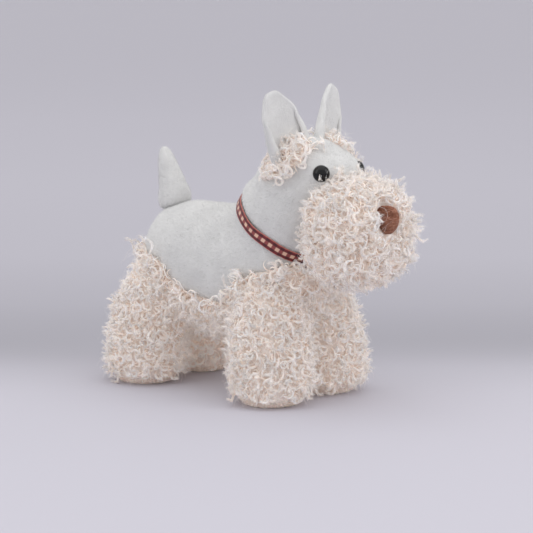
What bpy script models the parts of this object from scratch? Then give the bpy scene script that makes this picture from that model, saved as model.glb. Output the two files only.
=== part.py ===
"""A standing plush terrier with a disc-jointed neck and a ribbon collar.

A point is (forward, left, up) in millimetres: forward runs from tail to nose, left is the dog's
own left, and up starts on the floor. place() turns it into world metres, where the dog faces -Y.
"""

import math

import bmesh
import bpy
from mathutils import Matrix, Vector
from mathutils.bvhtree import BVHTree

MM = 0.001
GAP = 0.3  # left between pieces that touch
FABRIC = 1.6  # skin with its backing and pile roots

# Body: a round loaf that turns up into the neck.
RUMP_REAR = -78.0
BACK_HEIGHT = 136.0
BELLY_HEIGHT = 46.5
BODY_HALF_WIDTH = 38.5
CHEST_FRONT = 84.0
CHEST_HEIGHT = 80.0

# Neck joint: its plane leans forward, and everything on the head stays above it.
NECK_RADIUS = 38.0
NECK_FORWARD = 50.0
NECK_HEIGHT = BACK_HEIGHT - 10.0
NECK_LEAN = math.radians(38)
NECK_COLLAR = 4.5  # straight length of the neck on each side of the joint
NECK_GAP = 0.6
DISC_RADIUS = 22.0
DISC_THICKNESS = 3.0
WASHER_RADIUS = 8.0
WASHER_THICKNESS = 1.0
PIN_RADIUS = 1.6
PIN_EYE_RADIUS = 3.2
PIN_CURL_RADIUS = 4.8
PIN_CURL_HEIGHT = 4.0
JOINT_CLEARANCE = 0.5
POCKET_DEPTH = 20.0  # room in the filling for the disc, the washer and the pin's end
DEEP = 8.0  # how far a cutter runs past a skin

# Legs: two at the chest and two at the rump, alike but for their lean.
FRONT_LEG_FORWARD = 60.5
HIND_LEG_FORWARD = -65.0
LEG_LEFT = 30.3
LEG_RADIUS = 26.3
LEG_TOP = 96.0
SOLE_THICKNESS = 4.5
SOLE_INSET = 2.5

# Head, measured up the back of the skull and over the forehead.
HEAD_TOP = NECK_HEIGHT + 66.0
HEAD_HALF_WIDTH = 37.0
FOREHEAD_FORWARD = 107.0

# Muzzle with its beard, a soft box on the front of the head.
MUZZLE_REAR = 91.0
MUZZLE_FRONT = 140.0
MUZZLE_TOP = NECK_HEIGHT + 34.0
MUZZLE_BOTTOM = NECK_HEIGHT - 39.0
MUZZLE_HALF_WIDTH = 35.5

NOSE_HALF_WIDTH = 8.5
NOSE_HALF_HEIGHT = 10.0
NOSE_DEPTH = 9.0
NOSE_HEIGHT = NECK_HEIGHT + 12.0

EYE_RADIUS = 6.0
EYE_BULGE = 4.4
EYE_SEAT = 0.9  # the rim of the eye above the skin
EYE_HEIGHT = NECK_HEIGHT + 41.0
EYE_SET_BACK = 25.0  # from the forehead back to the point both eyes look out from
EYE_LOOK = (0.62, 0.78, 0.05)  # forward, to its own side, up
EYE_SHANK_RADIUS = 1.8
EYE_SHANK_LENGTH = 12.0
EYE_WASHER_RADIUS = 6.0
EYE_WASHER_THICKNESS = 1.4

EAR_HEIGHT = 39.0
EAR_WIDTH = 38.0  # along the cloth at the base
EAR_TIP_WIDTH = 11.0
EAR_BEND = math.radians(135)  # of the cross-section at the base
EAR_TIP_BEND = math.radians(35)
EAR_TAPER = 1.15
EAR_ROOT = -0.2  # where the ear starts before the skull trims it, as a share of its height
EAR_COLUMNS = 9
EAR_ROWS = 7
EAR_LAYER = 2.0
EAR_CLEARANCE = 3.8
EAR_FORWARD = 69.0
EAR_LEFT = 21.5
EAR_BASE_HEIGHT = NECK_HEIGHT + 62.0
EAR_UP = (-0.10, 0.34, 0.93)  # forward, to its own side, up
EAR_FACING = (0.97, 0.24, 0.0)

TAIL_FORWARD = -62.0
TAIL_RADIUS = 11.0
TAIL_LENGTH = 34.0
TAIL_LEAN = math.radians(18)

RIBBON_WIDTH = 8.0
RIBBON_THICKNESS = 0.8
RIBBON_END_LENGTH = 14.0
RIBBON_END_DROP = 1.5
RIBBON_END_STEPS = 5

# The world origin lies on the floor, midway between the hind legs' rear and the nose.
ORIGIN_FORWARD = (HIND_LEG_FORWARD - LEG_RADIUS + MUZZLE_FRONT + NOSE_DEPTH) / 2

SIDES = {"left": 1, "right": -1}

# Colours as linear red, green, blue, then roughness.
SMOOTH_PILE = ((0.80, 0.80, 0.78), 0.95)
CURLY_MOHAIR = ((0.84, 0.76, 0.68), 0.85)
SOLE_CLOTH = ((0.80, 0.62, 0.50), 0.90)
FILLING = ((0.86, 0.86, 0.84), 0.95)
FELTED_WOOL = ((0.38, 0.16, 0.10), 0.95)
GLOSSY_BLACK = ((0.004, 0.004, 0.005), 0.06)
HARDBOARD = ((0.25, 0.14, 0.07), 0.80)
STEEL = ((0.55, 0.55, 0.56), 0.35)
WHITE_PLASTIC = ((0.75, 0.75, 0.72), 0.45)
RED_RIBBON = ((0.30, 0.02, 0.03), 0.70)


def place(forward, left, up):
    return Vector((left, ORIGIN_FORWARD - forward, up)) * MM


def clear_scene():
    for obj in list(bpy.data.objects):
        bpy.data.objects.remove(obj)


def material(name, look, metallic=0.0):
    mat = bpy.data.materials.get(name)
    if mat is None:
        mat = bpy.data.materials.new(name)
        mat.use_nodes = True
        shader = mat.node_tree.nodes["Principled BSDF"]
        shader.inputs["Base Color"].default_value = (*look[0], 1)
        shader.inputs["Roughness"].default_value = look[1]
        shader.inputs["Metallic"].default_value = metallic
    return mat


# ---------------------------------------------------------------- meshes


def object_of(name, points, faces):
    """A closed mesh object from (forward, left, up) points, its faces turned outwards."""
    mesh = bpy.data.meshes.new(name)
    mesh.from_pydata([place(*p) for p in points], [], faces)
    bm = bmesh.new()
    bm.from_mesh(mesh)
    bmesh.ops.recalc_face_normals(bm, faces=bm.faces)
    bm.to_mesh(mesh)
    bm.free()
    obj = bpy.data.objects.new(name, mesh)
    bpy.context.scene.collection.objects.link(obj)
    return obj


def skin_rings(name, rings):
    """Joins rings of equal length into one closed solid; a ring of one point closes it as a tip."""
    points, faces, starts = [], [], []
    for ring in rings:
        starts.append(len(points))
        points += ring
    for k in range(len(rings) - 1):
        low, high = rings[k], rings[k + 1]
        a, b = starts[k], starts[k + 1]
        count = max(len(low), len(high))
        for i in range(count):
            j = (i + 1) % count
            if len(low) == 1:
                faces.append((a, b + i, b + j))
            elif len(high) == 1:
                faces.append((a + i, a + j, b))
            else:
                faces += [(a + i, a + j, b + j), (a + i, b + j, b + i)]
    for ring, start in ((rings[0], starts[0]), (rings[-1], starts[-1])):
        if len(ring) > 1:
            faces.append(tuple(range(start, start + len(ring))))
    return object_of(name, points, faces)


def rounded(angle, power):
    """Cosine and sine of a superellipse, which is squarer the higher its power."""
    c, s = math.cos(angle), math.sin(angle)
    return math.copysign(abs(c) ** (2 / power), c), math.copysign(abs(s) ** (2 / power), s)


def section(row, grow, sides, power):
    """A ring in the plane through a top and a bottom point, `grow` bigger all round."""
    top, bottom, half_width = Vector(row[0:2]), Vector(row[2:4]), row[4]
    middle, half = (top + bottom) / 2, (top - bottom) / 2
    if half_width <= 0:
        return [(middle.x, 0.0, middle.y)]
    half *= (half.length + grow) / half.length
    ring = []
    for i in range(sides):
        c, s = rounded(math.tau * i / sides, power)
        ring.append((middle.x + half.x * c, (half_width + grow) * s, middle.y + half.y * c))
    return ring


def moved(row, along, distance):
    """The section row shifted by a distance along a (forward, up) direction."""
    f, u = along.x * distance, along.y * distance
    return (row[0] + f, row[1] + u, row[2] + f, row[3] + u, row[4])


def middle_of(row):
    return Vector(((row[0] + row[2]) / 2, (row[1] + row[3]) / 2))


def offset(rows, grow):
    """Every section moved `grow` along the outline's own normal, and a flat or pointed end outwards."""
    out = []
    last = len(rows) - 1
    for k, row in enumerate(rows):
        before, after = rows[max(k - 1, 0)], rows[min(k + 1, last)]
        axis = middle_of(after) - middle_of(before)
        length, widening = axis.length, after[4] - before[4]
        axis.normalize()
        if k in (0, last):
            sign = -1 if k == 0 else 1
            out.append((moved(row, axis, sign * grow), grow if row[4] > 0 else 0.0))
            continue
        slope = math.hypot(length, widening)
        out.append((moved(row, axis, -grow * widening / slope), grow * length / slope))
    return out


def form(name, rows, grow=0.0, sides=20, power=2.0):
    """A solid through the section rows, its whole outside `grow` further out, ends included."""
    return skin_rings(name, [section(row, wider, sides, power) for row, wider in offset(rows, grow)])


def column(name, rows, grow=0.0, sides=16, foot_grow=None):
    """A round upright solid from (forward, left, up, radius) rows, closed by a dome above."""
    foot_grow = grow if foot_grow is None else foot_grow
    rings = []
    for k, (forward, left, up, radius) in enumerate(rows):
        up += -foot_grow if k == 0 else grow if k == len(rows) - 1 else 0
        if radius + grow < 0.5 or k == len(rows) - 1:
            rings.append([(forward, left, up)])
            continue
        angles = [math.tau * i / sides for i in range(sides)]
        r = radius + grow
        rings.append([(forward + r * math.cos(a), left + r * math.sin(a), up) for a in angles])
    return skin_rings(name, rings)


def turned(name, profile, centre, axis, sides=16):
    """A solid turned about an axis from (radius, height) profile points, ends on the axis."""
    across = axis.orthogonal().normalized()
    third = axis.cross(across)
    rings = []
    for radius, height in profile:
        middle = centre + axis * height
        if radius == 0:
            rings.append([tuple(middle)])
            continue
        angles = [math.tau * i / sides for i in range(sides)]
        rings.append(
            [tuple(middle + (across * math.cos(a) + third * math.sin(a)) * radius) for a in angles]
        )
    return skin_rings(name, rings)


def rod(name, centre, axis, radius, low, high, sides=16):
    return turned(name, [(radius, low), (radius, high)], centre, axis, sides)


def tube(name, centre, axis, inner, outer, low, high, sides=16):
    solid = rod(name, centre, axis, outer, low, high, sides)
    hole = rod("hole", centre, axis, inner, low - 1, high + 1, sides)
    return cut(solid, hole)


def copy_of(obj):
    other = obj.copy()
    other.data = obj.data.copy()
    bpy.context.scene.collection.objects.link(other)
    return other


def boolean(obj, other, operation):
    modifier = obj.modifiers.new(operation.title(), "BOOLEAN")
    modifier.operation = operation
    modifier.object = other
    graph = bpy.context.evaluated_depsgraph_get()
    mesh = bpy.data.meshes.new_from_object(obj.evaluated_get(graph))
    obj.modifiers.clear()
    obj.data = mesh
    return obj


def cut(obj, *cutters):
    for cutter in cutters:
        boolean(obj, cutter, "DIFFERENCE")
        bpy.data.objects.remove(cutter)
    return obj


def keep_inside(obj, region):
    boolean(obj, region, "INTERSECT")
    bpy.data.objects.remove(region)
    return obj


def prism(name, outline, low_left, high_left):
    """A side-view outline of (forward, up) points, run from one side to the other."""
    ring = [[(f, left, u) for f, u in outline] for left in (low_left, high_left)]
    return skin_rings(name, ring)


def finished(obj, name, mat, crease=35, pivot=None):
    """Names a piece, gives it its material and smooth shading, and sets its origin."""
    obj.name = name
    obj.data.name = name
    obj.data.materials.clear()
    obj.data.materials.append(mat)
    obj.data.shade_smooth()
    obj.data.set_sharp_from_angle(angle=math.radians(crease))
    if pivot is not None:
        obj.data.transform(Matrix.Translation(-pivot))
        obj.location = pivot
    return obj


def surface_hit(obj, start, direction):
    """Where a ray from a (forward, left, up) point meets the object, and the normal there."""
    bm = bmesh.new()
    bm.from_mesh(obj.data)
    tree = BVHTree.FromBMesh(bm)
    bm.free()
    world = Vector((direction[1], -direction[0], direction[2]))
    hit, normal, _, _ = tree.ray_cast(place(*start), world)
    hit /= MM
    return Vector((ORIGIN_FORWARD - hit.y, hit.x, hit.z)), Vector((-normal.y, normal.x, normal.z))


# ---------------------------------------------------------------- shapes

NECK_AXIS = Vector((math.sin(NECK_LEAN), 0, math.cos(NECK_LEAN)))
NECK_CENTRE = Vector((NECK_FORWARD, 0, NECK_HEIGHT))


def neck_row(height):
    """The neck's round section at a height along its axis from the joint plane."""
    middle = NECK_CENTRE + NECK_AXIS * height
    f, u = NECK_RADIUS * math.cos(NECK_LEAN), NECK_RADIUS * math.sin(NECK_LEAN)
    return (middle.x - f, middle.z + u, middle.x + f, middle.z - u, NECK_RADIUS)


def nape_point(share):
    """Side view of the bend from the back up to the neck, as a (forward, up) point."""
    nape = neck_row(-NECK_COLLAR)
    start, bend, end = (
        Vector((nape[0] - 22, BACK_HEIGHT)),
        Vector((nape[0] - 3, BACK_HEIGHT + 3)),
        Vector(nape[0:2]),
    )
    return start * (1 - share) ** 2 + bend * 2 * share * (1 - share) + end * share**2


def body_rows():
    width, back, belly = BODY_HALF_WIDTH, BACK_HEIGHT, BELLY_HEIGHT
    middle = (back + belly) / 2
    return [
        (RUMP_REAR, middle + 4, RUMP_REAR, middle + 4, 0.0),
        (RUMP_REAR + 3, back - 16, RUMP_REAR + 4, belly + 24, width * 0.56),
        (RUMP_REAR + 14, back - 5, RUMP_REAR + 17, belly + 9, width * 0.84),
        (RUMP_REAR + 36, back, RUMP_REAR + 38, belly + 2, width - 0.5),
        (*nape_point(0), RUMP_REAR + 70, belly, width),
        (*nape_point(0.35), NECK_FORWARD - 25, belly, width),
        (*nape_point(0.65), NECK_FORWARD + 8, belly + 4, width),
        (*nape_point(0.85), CHEST_FRONT - 9, CHEST_HEIGHT - 13, width - 0.5),
        (*nape_point(0.95), CHEST_FRONT, CHEST_HEIGHT + 5, NECK_RADIUS),
        neck_row(-NECK_COLLAR),
        neck_row(0),
    ]


def body_form(name, grow=0.0):
    return form(name, body_rows(), grow)


def head_rows():
    nape = neck_row(NECK_GAP + NECK_COLLAR)
    top, width, front = HEAD_TOP, HEAD_HALF_WIDTH, FOREHEAD_FORWARD
    return [
        neck_row(NECK_GAP),
        nape,
        (nape[0] + 5, top - 28, nape[2] + 7, nape[3] + 9, width),
        (nape[0] + 14, top - 16, front - 13, top - 65, width - 1.5),
        (nape[0] + 25, top - 7, front - 7, top - 55, width - 4),
        (nape[0] + 39, top - 0.5, front - 3, top - 45, width - 8),
        (nape[0] + 56, top - 3, front, top - 35, width - 12.5),
        (front - 16, top - 10.5, front + 2, top - 28, width - 19),
        (front, top - 20, front, top - 20, 0.0),
    ]


def head_form(name, grow=0.0):
    return form(name, head_rows(), grow)


def muzzle_rows():
    top, bottom, width = MUZZLE_TOP, MUZZLE_BOTTOM, MUZZLE_HALF_WIDTH
    rear, front = MUZZLE_REAR, MUZZLE_FRONT
    depth = front - rear
    return [
        (rear, top - 4, rear, bottom + 6, width - 2),
        (rear + 0.35 * depth, top, rear + 0.35 * depth, bottom, width),
        (rear + 0.68 * depth, top - 2, rear + 0.68 * depth, bottom + 1, width),
        (front - 6, top - 9, front - 6, bottom + 9, width - 4),
        (front - 1.5, top - 20, front - 1.5, bottom + 21, width - 14),
        (front, (top + bottom) / 2, front, (top + bottom) / 2, 0.0),
    ]


def muzzle_form(name, grow=0.0):
    return form(name, muzzle_rows(), grow, power=2.6)


def leg_rows(end, side):
    """Rows of a leg from just over its sole to the shoulder or the haunch."""
    forward = FRONT_LEG_FORWARD if end == "front" else HIND_LEG_FORWARD
    lean = -9.0 if end == "front" else 11.0
    left, r, foot = LEG_LEFT, LEG_RADIUS, SOLE_THICKNESS + GAP
    rise = LEG_TOP - foot
    return [
        (forward, side * left, foot, r - 2),
        (forward, side * left, foot + 0.10 * rise, r),
        (forward + 0.1 * lean, side * (left - 0.5), foot + 0.33 * rise, r - 0.3),
        (forward + 0.4 * lean, side * (left - 3.5), foot + 0.60 * rise, r - 1.8),
        (forward + 0.8 * lean, side * (left - 7.0), foot + 0.82 * rise, r - 6),
        (forward + lean, side * (left - 9.0), foot + 0.95 * rise, r - 15),
        (forward + lean, side * (left - 9.5), LEG_TOP, 0.0),
    ]


def seam_outline(gap=0.0, rear=-120.0, front=120.0):
    """The side view of all that lies under the saddle's lower edge."""
    line = [
        (rear, 99),
        (-68, 99),
        (-47, 95),
        (-23, 74),
        (18, 66),
        (27, 77),
        (36, 90),
        (59, 96),
        (front, 96 + (front - 59) * 0.32),
    ]
    line = [(f, u - gap) for f, u in line]
    return [(rear, -10), *line, (front, -10)]


# ---------------------------------------------------------------- body


def make_body(pile, mohair, filling):
    shell = cut(body_form("shell"), body_form("inner", -FABRIC))
    hole = rod("hole", NECK_CENTRE, NECK_AXIS, PIN_RADIUS + JOINT_CLEARANCE, -DEEP, DEEP, 12)
    shell = cut(shell, hole)
    wide = BODY_HALF_WIDTH + 20
    chest_rear = NECK_FORWARD - 9

    under, chest = copy_of(shell), copy_of(shell)
    cut(shell, prism("under", seam_outline(), -wide, wide))
    finished(shell, "body_saddle_panel", pile)
    keep_inside(under, prism("rear", clipped(seam_outline(GAP), chest_rear, False), -wide, wide))
    finished(under, "belly_panel", mohair)
    keep_inside(chest, prism("fore", clipped(seam_outline(GAP), chest_rear + GAP, True), -wide, wide))
    finished(chest, "chest_panel", mohair)

    core = body_form("core", -FABRIC - GAP)
    pocket = rod("pocket", NECK_CENTRE, NECK_AXIS, DISC_RADIUS + JOINT_CLEARANCE, -POCKET_DEPTH, DEEP, 20)
    finished(cut(core, pocket), "body_stuffing", filling)


def clipped(outline, forward, keep_front):
    """The part of an outline in front of, or behind, a cross-ways line."""
    kept = []
    for (f0, u0), (f1, u1) in zip(outline, outline[1:] + outline[:1]):
        inside0 = (f0 > forward) == keep_front
        inside1 = (f1 > forward) == keep_front
        if inside0:
            kept.append((f0, u0))
        if inside0 != inside1:
            share = (forward - f0) / (f1 - f0)
            kept.append((forward, u0 + (u1 - u0) * share))
    return kept


def make_leg(end, side_name, mohair, filling, sole_cloth):
    side = SIDES[side_name]
    rows = leg_rows(end, side)
    name = f"{end}_{side_name}_leg"
    skin = column("skin", rows)
    cut(skin, column("inside", rows, -FABRIC, foot_grow=5), body_form("body", GAP))
    finished(skin, f"{name}_skin", mohair)
    core = column("core", rows, -FABRIC - GAP, foot_grow=0)
    cut(core, body_form("body", GAP))
    finished(core, f"{name}_stuffing", filling)

    forward, left, top, radius = rows[0]
    centre = Vector((forward, left, 0))
    radius -= SOLE_INSET
    profile = [(0, 0), (radius - 2.5, 0), (radius - 0.7, 0.8), (radius, 2.4), (radius, SOLE_THICKNESS)]
    sole = turned("sole", profile + [(0, SOLE_THICKNESS)], centre, Vector((0, 0, 1)))
    finished(sole, f"{end}_{side_name}_sole", sole_cloth)


def make_tail(pile, filling):
    body = body_form("body")
    seat, normal = surface_hit(body, (TAIL_FORWARD, 0, BACK_HEIGHT + 30), (0, 0, -1))
    bpy.data.objects.remove(body)
    seat.y = normal.y = 0
    centre = seat + normal.normalized() * (TAIL_RADIUS + JOINT_CLEARANCE)
    axis = Vector((-math.sin(TAIL_LEAN), 0, math.cos(TAIL_LEAN)))
    r, length = TAIL_RADIUS, TAIL_LENGTH

    def profile(inset):
        dome = [math.radians(a) for a in (-70, -50, -30, -12)]
        bottom = [(0, inset - r)] + [((r - inset) * math.cos(a), (r - inset) * math.sin(a)) for a in dome]
        shares = ((0, 1), (0.3, 0.88), (0.6, 0.74), (0.82, 0.58), (0.94, 0.36))
        tip = length - inset
        return bottom + [(r * width - inset, tip * up) for up, width in shares] + [(0, tip)]

    skin = turned("skin", profile(0), centre, axis, 14)
    hollow = turned("hollow", profile(FABRIC), centre, axis, 14)
    mouth = rod("mouth", centre, axis, r * 0.35, -r - 1, -r + FABRIC + 3, 12)
    pivot = place(*centre)
    finished(cut(skin, hollow, mouth), "tail_skin", pile, pivot=pivot)
    core = turned("core", profile(FABRIC + GAP), centre, axis, 14)
    finished(core, "tail_stuffing", filling, pivot=pivot)


# ---------------------------------------------------------------- neck joint


def make_neck_joint(board, steel):
    """Discs inside body and head, pressed together by washers and a cotter pin."""
    pivot = place(*NECK_CENTRE)
    hole = PIN_RADIUS + JOINT_CLEARANCE
    body_disc = -FABRIC - GAP
    head_disc = NECK_GAP + FABRIC + GAP
    for name, start, way in (("body", body_disc, -1), ("head", head_disc, 1)):
        inner, outer = start, start + way * DISC_THICKNESS
        low, high = min(inner, outer), max(inner, outer)
        disc = tube("disc", NECK_CENTRE, NECK_AXIS, hole, DISC_RADIUS, low, high, 20)
        finished(disc, f"neck_disc_{name}", board, pivot=pivot)
        inner = outer + way * GAP
        outer = inner + way * WASHER_THICKNESS
        washer = tube(
            "washer", NECK_CENTRE, NECK_AXIS, hole, WASHER_RADIUS, min(inner, outer), max(inner, outer), 14
        )
        finished(washer, f"neck_washer_{name}", steel, pivot=pivot)

    stack = GAP + DISC_THICKNESS + GAP + WASHER_THICKNESS + GAP
    low, high = -FABRIC - stack, NECK_GAP + FABRIC + stack
    profile = [
        (0, low - PIN_CURL_HEIGHT),
        (PIN_CURL_RADIUS * 0.8, low - PIN_CURL_HEIGHT),
        (PIN_CURL_RADIUS, low - PIN_CURL_HEIGHT / 2),
        (PIN_CURL_RADIUS * 0.8, low),
        (PIN_RADIUS, low),
        (PIN_RADIUS, high),
        (PIN_EYE_RADIUS, high),
        (PIN_EYE_RADIUS, high + 3),
        (0, high + 4.5),
    ]
    pin = turned("pin", profile, NECK_CENTRE, NECK_AXIS, 12)
    finished(pin, "neck_cotter_pin", steel, pivot=pivot)


def make_collar(ribbon):
    """A ribbon ring on the neck joint, and its loose end under the throat."""
    pivot = place(*NECK_CENTRE)
    inner = NECK_RADIUS + JOINT_CLEARANCE
    outer = inner + RIBBON_THICKNESS
    centre = NECK_CENTRE + NECK_AXIS * (NECK_GAP / 2)
    half = RIBBON_WIDTH / 2
    ring = tube("ring", centre, NECK_AXIS, inner, outer, -half, half, 40)
    finished(ring, "collar_ribbon", ribbon, pivot=pivot)

    throat = Vector((math.cos(NECK_LEAN), 0, -math.sin(NECK_LEAN)))
    near, far = outer + GAP, outer + GAP + RIBBON_THICKNESS
    turn = RIBBON_END_LENGTH / near
    rings = []
    for k in range(RIBBON_END_STEPS + 1):
        angle = turn * k / RIBBON_END_STEPS
        out = throat * math.cos(angle) - Vector((0, 1, 0)) * math.sin(angle)
        drop = NECK_AXIS * (-RIBBON_END_DROP * k / RIBBON_END_STEPS)
        corners = ((near, -half), (far, -half), (far, half), (near, half))
        rings.append([tuple(centre + out * radius + drop + NECK_AXIS * up) for radius, up in corners])
    finished(skin_rings("end", rings), "collar_ribbon_end", ribbon, pivot=pivot)


# ---------------------------------------------------------------- head


def eye_frame(side):
    """Centre of the eye on the skin, and the way it looks."""
    head = head_form("head")
    look = Vector((EYE_LOOK[0], side * EYE_LOOK[1], EYE_LOOK[2])).normalized()
    hit, _ = surface_hit(head, (FOREHEAD_FORWARD - EYE_SET_BACK, 0, EYE_HEIGHT), look)
    bpy.data.objects.remove(head)
    return hit, look


def make_eye(side_name, black, plastic):
    centre, look = eye_frame(SIDES[side_name])
    pivot = place(*centre)
    seat = EYE_SEAT
    dome = [math.radians(a) for a in (10, 30, 50, 70)]
    profile = [(0, -EYE_SHANK_LENGTH), (EYE_SHANK_RADIUS, -EYE_SHANK_LENGTH), (EYE_SHANK_RADIUS, seat)]
    profile += [(EYE_RADIUS * 0.86, seat), (EYE_RADIUS, seat + 0.7)]
    profile += [(EYE_RADIUS * math.cos(a), seat + 0.7 + EYE_BULGE * math.sin(a)) for a in dome]
    profile += [(0, seat + 0.7 + EYE_BULGE)]
    finished(turned("eye", profile, centre, look, 14), f"{side_name}_eye", black, 50, pivot)
    low = -EYE_SHANK_LENGTH + 2.5
    hole, rim = EYE_SHANK_RADIUS + GAP, EYE_WASHER_RADIUS
    washer = tube("washer", centre, look, hole, rim, low, low + EYE_WASHER_THICKNESS, 12)
    finished(washer, f"{side_name}_eye_washer", plastic, pivot=pivot)


def eye_hole(side, radius, low):
    centre, look = eye_frame(side)
    return rod("eye_hole", centre, look, radius, low, 10, 12)


def brow_region(side, grow):
    """Prism round a brow patch, between the eye and the ear, off the forehead's middle strip."""
    front, rear = FOREHEAD_FORWARD - 22 + grow, FOREHEAD_FORWARD - 56 - grow
    high, low = HEAD_TOP + 10, HEAD_TOP - 32 - grow
    outline = [(rear, low + 6), (rear + 10, low), (front, low + 14), (front, high), (rear, high)]
    inner, outer = 13.0 - grow, HEAD_HALF_WIDTH + 20
    ends = (inner, outer) if side > 0 else (-outer, -inner)
    return prism("brow", outline, *ends)


def make_head(pile, mohair, filling):
    shell = cut(head_form("shell"), head_form("inner", -FABRIC))
    hole = rod("hole", NECK_CENTRE, NECK_AXIS, PIN_RADIUS + JOINT_CLEARANCE, -DEEP, DEEP, 12)
    shell = cut(shell, hole)
    shank_hole = EYE_SHANK_RADIUS + GAP
    core = head_form("core", -FABRIC - GAP)
    pocket = rod("pocket", NECK_CENTRE, NECK_AXIS, DISC_RADIUS + JOINT_CLEARANCE, -DEEP, POCKET_DEPTH, 20)
    cut(core, pocket)
    for side_name, side in SIDES.items():
        cut(shell, eye_hole(side, shank_hole, -EYE_SHANK_LENGTH))
        cut(core, eye_hole(side, EYE_WASHER_RADIUS + GAP, -EYE_SHANK_LENGTH - GAP))
        brow = keep_inside(copy_of(shell), brow_region(side, 0))
        finished(brow, f"{side_name}_brow_patch", mohair)
        cut(shell, brow_region(side, GAP))
    finished(shell, "head_skin", pile)
    finished(core, "head_stuffing", filling)


def make_muzzle(mohair, filling, felt):
    skin = cut(muzzle_form("skin"), muzzle_form("inner", -FABRIC), head_form("head", GAP))
    finished(skin, "muzzle_skin", mohair)
    core = cut(muzzle_form("core", -FABRIC - GAP), head_form("head", GAP))
    finished(core, "muzzle_stuffing", filling)

    centre = Vector((MUZZLE_FRONT, 0, NOSE_HEIGHT))
    rows = []
    for share, size in ((-0.9, 0.9), (0.0, 1.0), (0.45, 0.94), (0.8, 0.66), (1.0, 0.0)):
        forward = centre.x + share * NOSE_DEPTH
        half = NOSE_HALF_HEIGHT * size
        rows.append((forward, centre.z + half, forward, centre.z - half, NOSE_HALF_WIDTH * size))
    nose = form("nose", rows, sides=16)
    taper(nose, centre.z)
    finished(cut(nose, muzzle_form("muzzle", GAP)), "nose", felt, 60)


def taper(nose, height):
    """Narrows the nose below its middle and widens it a little above."""
    for vertex in nose.data.vertices:
        up = (vertex.co.z / MM - height) / NOSE_HALF_HEIGHT
        vertex.co.x *= 1 + 0.22 * max(min(up, 1), -1)


def ear_axes(side):
    """The ear's up, across and facing directions: it opens forwards and a little outwards."""
    up = Vector((EAR_UP[0], side * EAR_UP[1], EAR_UP[2])).normalized()
    facing = Vector((EAR_FACING[0], side * EAR_FACING[1], EAR_FACING[2]))
    facing = (facing - up * facing.dot(up)).normalized()
    return up, up.cross(facing).normalized(), facing


def ear_point(side, across_share, up_share, depth):
    """A point of a leaf bent round an upright line and narrower upwards, `depth` in front of its middle."""
    up, across, facing = ear_axes(side)
    base = Vector((EAR_FORWARD, side * EAR_LEFT, EAR_BASE_HEIGHT))
    breadth = 1 - min(max(up_share, 0.0), 1.0) ** EAR_TAPER
    width = EAR_TIP_WIDTH + (EAR_WIDTH - EAR_TIP_WIDTH) * breadth
    bend = EAR_TIP_BEND + (EAR_BEND - EAR_TIP_BEND) * breadth
    angle = across_share * bend / 2
    centre = base + up * (up_share * EAR_HEIGHT) + facing * (width / bend)
    return centre + (across * math.sin(angle) - facing * math.cos(angle)) * (width / bend - depth)


def sheet_between(name, back, front):
    """A closed sheet from two grids of points that are its back and its front."""
    rows, columns = len(back), len(back[0])
    layer = rows * columns
    points = [tuple(p) for grid in (back, front) for row in grid for p in row]
    faces = []
    for j in range(rows - 1):
        for i in range(columns - 1):
            a = j * columns + i
            quad = (a, a + 1, a + 1 + columns, a + columns)
            faces += [quad, tuple(layer + k for k in quad)]
    edge = list(range(columns))
    edge += [j * columns + columns - 1 for j in range(1, rows)]
    edge += [(rows - 1) * columns + i for i in range(columns - 2, -1, -1)]
    edge += [j * columns for j in range(rows - 2, 0, -1)]
    faces += [(a, b, layer + b, layer + a) for a, b in zip(edge, edge[1:] + edge[:1])]
    return object_of(name, points, faces)


def make_ear(side_name, pile):
    """The ear's back and its lining, two cupped layers whose lower edge follows the skull."""
    side = SIDES[side_name]
    pivot = place(EAR_FORWARD, side * EAR_LEFT, EAR_BASE_HEIGHT)
    across = [2 * i / (EAR_COLUMNS - 1) - 1 for i in range(EAR_COLUMNS)]
    upward = [EAR_ROOT + (1 - EAR_ROOT) * j / (EAR_ROWS - 1) for j in range(EAR_ROWS)]
    layers = (("back", -EAR_LAYER - GAP / 2, -GAP / 2), ("lining", GAP / 2, EAR_LAYER + GAP / 2))
    for part, low, high in layers:
        back, front = (
            [[ear_point(side, u, v, depth) for u in across] for v in upward] for depth in (low, high)
        )
        ear = cut(sheet_between("ear", back, front), head_form("head", EAR_CLEARANCE))
        finished(ear, f"{side_name}_ear_{part}", pile, 50, pivot)


def build():
    clear_scene()
    pile = material("smooth_pile", SMOOTH_PILE)
    mohair = material("curly_mohair", CURLY_MOHAIR)
    filling = material("filling", FILLING)
    sole_cloth = material("sole_cloth", SOLE_CLOTH)
    felt = material("felted_wool", FELTED_WOOL)
    black = material("glossy_black", GLOSSY_BLACK)
    board = material("hardboard", HARDBOARD)
    steel = material("steel", STEEL, 1.0)
    plastic = material("white_plastic", WHITE_PLASTIC)
    ribbon = material("red_ribbon", RED_RIBBON)

    make_body(pile, mohair, filling)
    for end in ("front", "hind"):
        for side_name in SIDES:
            make_leg(end, side_name, mohair, filling, sole_cloth)
    make_tail(pile, filling)
    make_neck_joint(board, steel)
    make_collar(ribbon)
    make_head(pile, mohair, filling)
    make_muzzle(mohair, filling, felt)
    for side_name in SIDES:
        make_eye(side_name, black, plastic)
        make_ear(side_name, pile)


build()
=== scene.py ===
import math

import bmesh
import bpy
import numpy as np
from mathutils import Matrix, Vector
from mathutils.bvhtree import BVHTree
from mathutils.kdtree import KDTree


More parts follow.
